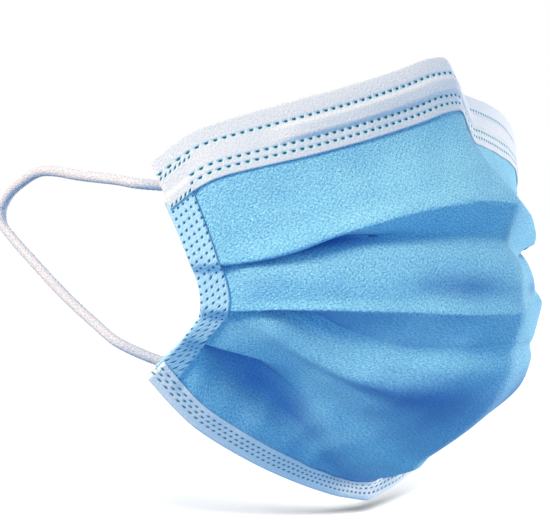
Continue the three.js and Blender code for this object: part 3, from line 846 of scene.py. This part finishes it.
# %% Nose wire and binding shapes
BINDING = 0.4 * MM
BINDING_OFFSET = 0.56 * MM
NOSE_BAND_WIDTH = 15.3 * MM
CHIN_BAND_WIDTH = 5.9 * MM
HOOK = 6 * MM
WIRE_LENGTH = 105 * MM
WIRE_WIDTH = 3.6 * MM
WIRE_THICKNESS = 0.5 * MM
WIRE_DEPTH = 7.6 * MM
TAPE_WIDTH = 7 * MM
TAPE_CLOTH = 0.35 * MM
body_out = outwards(body_grid)
edge_pace = float(np.linalg.norm(row_point("lip_2", 1.0) - row_point("lip_2", 0.9)) / 0.1)
TAPE_FROM = 1 - TAPE_WIDTH / edge_pace


def follow(grid, normal, depth, from_bottom, offset):
    """A point of the cloth at a depth from its top or bottom edge, moved out."""
    found = []
    for line, out, depth in zip(grid, normal, np.broadcast_to(depth, len(grid))):
        if from_bottom:
            line, out = line[::-1], out[::-1]
        along = np.concatenate([[0], np.cumsum(np.linalg.norm(np.diff(line, axis=0), axis=1))])
        place = np.array([np.interp(depth, along, line[:, k]) for k in range(3)])
        face = np.array([np.interp(depth, along, out[:, k]) for k in range(3)])
        found.append(place + face / np.linalg.norm(face) * offset)
    return np.array(found)


def binding_strip(from_bottom, width, hook, rise, narrowing=0.0):
    """A strip folded over an edge. Rise lifts the outside at a share and depth."""
    inside = np.linspace(hook, 0, 7)
    turn = np.linspace(-90, 90, 9)[1:-1]
    outside = np.linspace(0, width, 40)
    rows, across = [], []
    narrow = 1 - narrowing * soft_step(np.abs(stations_t), 0.55, 1.0)
    line_edge = body_grid[:, -1] if from_bottom else body_grid[:, 0]
    next_edge = body_grid[:, -2] if from_bottom else body_grid[:, 1]
    away = line_edge - next_edge
    away /= np.linalg.norm(away, axis=1)[:, None]
    face = body_out[:, -1] if from_bottom else body_out[:, 0]
    gap = BINDING_OFFSET
    for depth in inside:
        rows.append(follow(body_grid, body_out, depth, from_bottom, -gap))
        across.append(-depth - math.pi * gap / 2)
    for angle in np.radians(turn):
        lift = np.array([rise(share_t, 0.0) for share_t in stations_t])[:, None] if angle > 0 else 0
        rows.append(line_edge + face * (gap + lift) * math.sin(angle) + away * gap * math.cos(angle))
        across.append((angle - math.pi / 2) * gap)
    for depth in outside:
        lift = np.array([rise(share_t, depth) for share_t in stations_t])[:, None]
        place = follow(body_grid, body_out, depth * narrow, from_bottom, 0)
        rows.append(place + follow_out(depth * narrow, from_bottom) * (gap + lift))
        across.append(depth)
    if from_bottom:
        rows, across = rows[::-1], across[::-1]
    grid = np.array(rows).transpose(1, 0, 2)
    along = np.broadcast_to((stations_t * FLAT_WIDTH / 2)[:, None], grid.shape[:2])
    uv = np.stack([along, np.broadcast_to(np.array(across), grid.shape[:2])], -1) / MM
    return grid, uv


def follow_out(depth, from_bottom):
    """The cloth's outward directions at a depth from an edge."""
    found = follow(body_grid, body_out, depth, from_bottom, 1.0) - follow(body_grid, body_out,
                                                                          depth, from_bottom, 0.0)
    return found


def nose_rise(t, depth):
    """The nose wire and the tape's top end lift the strip."""
    over_wire = soft_step(depth, 5.0 * MM, 6.6 * MM) * (1 - soft_step(depth, 9.4 * MM, 10.3 * MM))
    over_wire *= 1 - soft_step(abs(t) * FLAT_WIDTH / 2, WIRE_LENGTH / 2 + 1 * MM, WIRE_LENGTH / 2 + 10 * MM)
    over_tape = soft_step(abs(t), TAPE_FROM - 0.02, TAPE_FROM) * soft_step(depth,
                                                                           NOSE_BAND_WIDTH - 5 * MM,
                                                                           NOSE_BAND_WIDTH - 3 * MM)
    return 0.62 * MM * over_wire + 0.42 * MM * over_tape


def chin_rise(t, depth):
    """The tape's bottom end lifts the strip."""
    return 0.42 * MM * soft_step(abs(t), TAPE_FROM - 0.02, TAPE_FROM) * soft_step(depth, 2 * MM, 3.5 * MM)


grid, uv = binding_strip(False, NOSE_BAND_WIDTH, HOOK, nose_rise, 0.12)
nose_strip = grid_mesh("nose_binding", grid, uv)
give_wall(nose_strip, BINDING, white_band, white_band)
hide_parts("nose_band")
grid, uv = binding_strip(True, CHIN_BAND_WIDTH, HOOK - 1 * MM, chin_rise)
chin_strip = grid_mesh("chin_binding", grid, uv)
give_wall(chin_strip, BINDING, white_hem, white_hem)
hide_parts("chin_band")
print("bindings:", len(nose_strip.data.polygons), "and", len(chin_strip.data.polygons), "faces")

# %% [markdown]
# ## Nose wire
#
# A flat plastic-coated wire lies between the cloth and the strip and holds the
# bridge's shape. It hardly shows, so it is a plain flat bar that follows the
# cloth, like a strip with square edges.

# %% Nose wire
wire_columns = np.abs(stations_t) * FLAT_WIDTH / 2 <= WIRE_LENGTH / 2
wire_rows = []
for depth in np.linspace(WIRE_DEPTH - WIRE_WIDTH / 2, WIRE_DEPTH + WIRE_WIDTH / 2, 5):
    offset = CLOTH / 2 + 0.05 * MM + WIRE_THICKNESS / 2
    wire_rows.append((follow(body_grid, body_out, depth, False, 0) + follow_out(depth,
                                                                                False) * offset)[wire_columns])
wire_grid = np.array(wire_rows).transpose(1, 0, 2)
wire_uv = np.stack([
    np.broadcast_to((stations_t[wire_columns] * FLAT_WIDTH / 2)[:, None], wire_grid.shape[:2]),
    np.broadcast_to(np.linspace(0, WIRE_WIDTH, 5), wire_grid.shape[:2]),
], -1) / MM
coated_wire = grid_mesh("coated_nose_wire", wire_grid, wire_uv)
wire_coat, tree, shader = new_material("polyethylene_coated_wire", "#E9EAEC")
coat_place = add(tree, "UVMap", {"uv_map": "cloth_mm"}).outputs["UV"]
coat_noise = add(tree, "TexNoise", Vector=coat_place, Scale=0.8, Detail=3.0)
coat_tone = add(tree, "Mix", {"data_type": "RGBA"}, i0=coat_noise.outputs["Fac"],
                i6=linear("#DADCE0"), i7=linear("#F4F5F6"))
tree.links.new(coat_tone.outputs[2], shader.inputs["Base Color"])
shader.inputs["Roughness"].default_value = 0.45
give_wall(coated_wire, WIRE_THICKNESS, wire_coat, wire_coat)
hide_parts("nose_wire")

# %% [markdown]
# ## Side tapes
#
# A narrow tape is folded round each side edge and holds the pleats shut there.
# It doesn't follow every fold: it spans from lip to lip, so it is laid on the
# outermost cloth at each height, then eased, as a tape drawn taut would lie.

# %% Side tapes
TAPE_ROWS = 150
TAPE_ACROSS = 15


def envelope(points, outward, heights, sign):
    """How far out the cloth reaches at each height, eased over a few millimetres."""
    out, z = points @ outward, points[:, 2]
    reach = np.full(len(heights), -np.inf)
    for a, b, za, zb in zip(out, out[1:], z, z[1:]):
        low, high = min(za, zb), max(za, zb)
        hit = (heights >= low) & (heights <= high)
        if hit.any():
            u = (heights[hit] - za) / (zb - za) if zb != za else 0.5
            reach[hit] = np.maximum(reach[hit], sign * (a + (b - a) * u))
    good = np.isfinite(reach)
    reach = np.interp(-heights, -heights[good], reach[good])
    step = abs(heights[1] - heights[0])
    wide = max(1, int(round(0.8 * MM / step)))
    padded = np.pad(reach, wide, mode="edge")
    reach = np.max([padded[k:k + len(reach)] for k in range(2 * wide + 1)], axis=0)
    blur = np.exp(-0.5 * (np.arange(-3 * wide, 3 * wide + 1) / wide) ** 2)
    padded = np.pad(reach, 3 * wide, mode="edge")
    return sign * np.convolve(padded, blur / blur.sum(), mode="valid")


def side_tape(side):
    """The tape's grid: front face from inner edge to the side, then round inside."""
    shares = side * np.linspace(TAPE_FROM, 1, TAPE_ACROSS)
    front, rear, mid = [], [], []
    for t in shares:
        points, _ = column(t)
        along, outward = levels(t)
        top = follow(points[None], np.zeros_like(points)[None] + outward, NOSE_BAND_WIDTH - 4 * MM, False, 0)[0]
        low = follow(points[None], np.zeros_like(points)[None] + outward,
                     CHIN_BAND_WIDTH - 2.2 * MM, True, 0)[0]
        heights = np.linspace(top[2], low[2], TAPE_ROWS)
        rows = [row_point(name, t) for name in ROWS]
        slide = curve([-p[2] for p in rows], [p @ along for p in rows], -heights)
        keep = (points[:, 2] <= top[2] + 3 * MM) & (points[:, 2] >= low[2] - 3 * MM)
        clear = CLOTH / 2 + TAPE_CLOTH / 2 + 0.06 * MM
        out = envelope(points[keep], outward, heights, 1) + clear
        back_out = envelope(points[keep], outward, heights, -1) - clear
        base = along * slide[:, None]
        base[:, 2] = heights
        front.append(base + outward * out[:, None])
        rear.append(base + outward * back_out[:, None])
    front, rear = np.array(front), np.array(rear)
    along, outward = levels(side * 1.0)
    edge_front, edge_rear = front[-1], rear[-1]
    centre = (edge_front + edge_rear) / 2
    half = np.linalg.norm(edge_front - edge_rear, axis=1)[:, None] / 2
    turn = []
    for angle in np.radians(np.linspace(90, -90, 9)[1:-1]):
        turn.append(centre + outward * half * math.sin(angle) + along * side * 0.75 * MM * math.cos(angle))
    grid = np.concatenate([front, np.array(turn), rear[::-1]])
    if side < 0:
        grid = grid[::-1]
    return grid


for side, label in ((-1, "right"), (1, "left")):
    grid = side_tape(side)
    lengths = cloth_lengths(grid, 0)
    edge = TAPE_ACROSS + 3
    middle_line = edge if side > 0 else len(grid) - 1 - edge
    across = np.abs(lengths - lengths[middle_line][None])
    down = cloth_lengths(grid, 1)
    tape = grid_mesh(f"side_tape_{label}_cloth", grid, np.stack([across, down], -1) / MM)
    give_wall(tape, TAPE_CLOTH, tape_cloth, tape_cloth)
    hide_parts(f"side_tape_{label}")

# %% [markdown]
# ## Light and floor
# The mask stands in plain white studio light, so that the cloth's own blue is what the eye reads.
# One lamp could do, but it leaves the folds black on one side. A warm key from the left, a lamp from
# the right, two weak blue fills from below and a rear lamp model the folds as the photo has them.
# The floor takes none of these. A sun of its own lights it, and only the chin binding holds that sun
# back, which leaves a thin soft streak and no wide shadow under a thing that touches nothing.
# The camera sees a white world, while the cloth is lit by a pale blue one.

# %% Floor, world and lights
FLOOR_Z = -0.1305
FLOOR_RADIUS = 3.0
LAMPS_AIM = Vector((0, 0, -0.06))
bpy.ops.object.select_all(action="DESELECT")
bpy.ops.mesh.primitive_circle_add(vertices=96, radius=FLOOR_RADIUS, fill_type="NGON", location=(0, 0, FLOOR_Z))
floor = bpy.context.object
floor.name = "floor"
# matt acrylic board: even white with no gloss, on a warm base that takes the sun's blue out
floor_paint, tree, shader = new_material("matt_white_acrylic", "#F4F5F7")
shader.inputs["Base Color"].default_value = linear("#B5A28C")
shader.inputs["Roughness"].default_value = 0.9
shader.inputs["Emission Color"].default_value = linear("#FFFFFF")
shader.inputs["Emission Strength"].default_value = 0.1
floor.data.materials.append(floor_paint)
floor.visible_diffuse = False

world = bpy.data.worlds.new("white_studio")
world.use_nodes = True
sky = world.node_tree
backdrop = sky.nodes["Background"]
backdrop.inputs["Color"].default_value = (1, 1, 1, 1)
backdrop.inputs["Strength"].default_value = 1.0
direction = add(sky, "TexCoord").outputs["Generated"]
height = add(sky, "SeparateXYZ", Vector=direction).outputs["Z"]
above = add(sky, "MapRange", {"interpolation_type": "SMOOTHSTEP"}, Value=height, i1=-0.7, i2=0.8).outputs[0]
tint = add(sky, "Mix", {"data_type": "RGBA"}, i0=above, i6=(0.18, 0.47, 1.0, 1.0),
           i7=(0.42, 0.69, 1.0, 1.0)).outputs[2]
strength = add(sky, "MapRange", Value=above, i3=0.27, i4=0.66).outputs[0]
ambient = add(sky, "Background", Color=tint, Strength=strength)
path = add(sky, "LightPath")
chosen = add(sky, "MixShader", i0=path.outputs["Is Camera Ray"], i1=ambient.outputs[0], i2=backdrop.outputs[0])
sky.links.new(chosen.outputs[0], sky.nodes["World Output"].inputs["Surface"])
scene.world = world


def softbox(name, place, power, colour, size=0.3, sun_angle=None):
    """A lamp that looks at the middle of the mask: a square one, or a sun for the floor."""
    data = bpy.data.lights.new(name, "SUN" if sun_angle else "AREA")
    data.energy = power
    data.color = linear(colour)[:3]
    if sun_angle:
        data.angle = math.radians(sun_angle)
    else:
        data.size = size
    lamp = bpy.data.objects.new(name, data)
    aim = LAMPS_AIM - place
    lamp.matrix_world = Matrix.Translation(place) @ aim.to_track_quat("-Z", "Y").to_matrix().to_4x4()
    scene.collection.objects.link(lamp)
    lit = bpy.data.collections.new(name + "_receivers")
    lit.objects.link(floor)
    lit.collection_objects[0].light_linking.link_state = "INCLUDE" if sun_angle else "EXCLUDE"
    lamp.light_linking.receiver_collection = lit
    if sun_angle:
        # only the hem holds this lamp back, so the shadow stays a thin soft streak
        held = bpy.data.collections.new(name + "_blockers")
        held.objects.link(chin_strip)
        lamp.light_linking.blocker_collection = held
    else:
        lamp.light_linking.blocker_collection = lit
    return lamp


softbox("key_light", back * 0.5 - right * 0.72 + up * 0.48, 13.0, "#FFE6BE", size=0.3)
softbox("side_light", right * 0.9 - back * 0.36 - up * 0.02, 11.0, "#FFF1DC", size=0.35)
softbox("low_fill", back * 0.85 - right * 0.05 - up * 0.45, 1.9, "#A8DCFF", size=0.5)
softbox("bounce_light", back * 0.35 + right * 0.15 - up * 0.85, 1.7, "#B4DEFF", size=0.6)
softbox("rear_light", up * 0.35 - back * 0.9 - right * 0.1, 5.0, "#FFFFFF", size=0.5)
softbox("floor_light", right * 0.25 + back * 2.1 + up * 1.0, 24.0, "#C6DBFF", sun_angle=20)
scene.view_settings.view_transform = "Standard"
